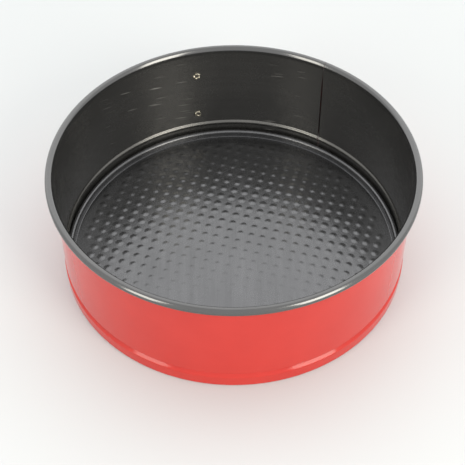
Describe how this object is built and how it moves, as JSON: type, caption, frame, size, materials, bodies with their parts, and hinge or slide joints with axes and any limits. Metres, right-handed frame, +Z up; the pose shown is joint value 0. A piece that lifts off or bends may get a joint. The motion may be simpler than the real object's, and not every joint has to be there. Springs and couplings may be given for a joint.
{
  "type": "springform cake pan",
  "caption": "Round cake pan with a spring band that a wire-bail draw clasp closes round a loose raised-bead base; rolled rim, painted outside, dark non-stick inside.",
  "frame": {"origin": "on the pan's axis, in the flat underside of the base", "axes": "+Z up, out of the open mouth; +Y towards the rear, where the clasp is; +X to the right as seen from the front"},
  "size_m": [0.2094, 0.2144, 0.0708],
  "materials": {
    "red_paint": "glossy red paint outside, satin dark grey non-stick coating inside and over the rim",
    "non_stick_coating": "satin dark grey non-stick coating",
    "plated_steel": "bright nickel-plated pressed steel and wire"
  },
  "bodies": {
    "base": {"base_plate": "non_stick_coating"},
    "left_side": {"band_left": "red_paint"},
    "right_side": {"band_right": "red_paint"},
    "lever_end": {"band_lever_end": "red_paint", "lever_bracket": "plated_steel", "bracket_rivet_upper": "plated_steel", "bracket_rivet_lower": "plated_steel", "lever_pivot_pin": "plated_steel"},
    "catch_end": {"band_catch_end": "red_paint", "catch_plate": "plated_steel", "catch_rivet_upper": "plated_steel", "catch_rivet_lower": "plated_steel"},
    "lever": {"lever": "plated_steel"},
    "bail": {"wire_bail": "plated_steel"}
  },
  "joints": [
    {"name": "band_spread", "type": "hinge", "parent": "base", "child": "left_side", "pos_m": [0.05788, -0.10025, 0], "axis": [0, 0, 1], "range_deg": [0, 1.2]},
    {"name": "front_flex", "type": "hinge", "parent": "left_side", "child": "right_side", "pos_m": [0, -0.10025, 0], "axis": [0, 0, -1], "range_deg": [0, 2.4]},
    {"name": "lever_side_flex", "type": "hinge", "parent": "left_side", "child": "lever_end", "pos_m": [-0.08682, 0.05013, 0], "axis": [0, 0, 1], "range_deg": [0, 2.4]},
    {"name": "catch_side_flex", "type": "hinge", "parent": "right_side", "child": "catch_end", "pos_m": [0.08682, 0.05013, 0], "axis": [0, 0, -1], "range_deg": [0, 2.4]},
    {"name": "lever_pivot", "type": "hinge", "parent": "lever_end", "child": "lever", "pos_m": [-0.02503, 0.10506, 0.0352], "axis": [0, 0, -1], "range_deg": [0, 150]},
    {"name": "bail_pivot", "type": "hinge", "parent": "lever", "child": "bail", "pos_m": [-0.03603, 0.10479, 0.0352], "axis": [0, 0, 1], "range_deg": [0, 140]}
  ],
  "couplings": [
    {"joint": "band_spread", "follows": "lever_pivot", "ratio": 0.007938},
    {"joint": "front_flex", "follows": "lever_pivot", "ratio": 0.015876},
    {"joint": "lever_side_flex", "follows": "lever_pivot", "ratio": 0.015876},
    {"joint": "catch_side_flex", "follows": "lever_pivot", "ratio": 0.015876},
    {"joint": "bail_pivot", "follows": "lever_pivot", "ratio": 0.93}
  ]
}
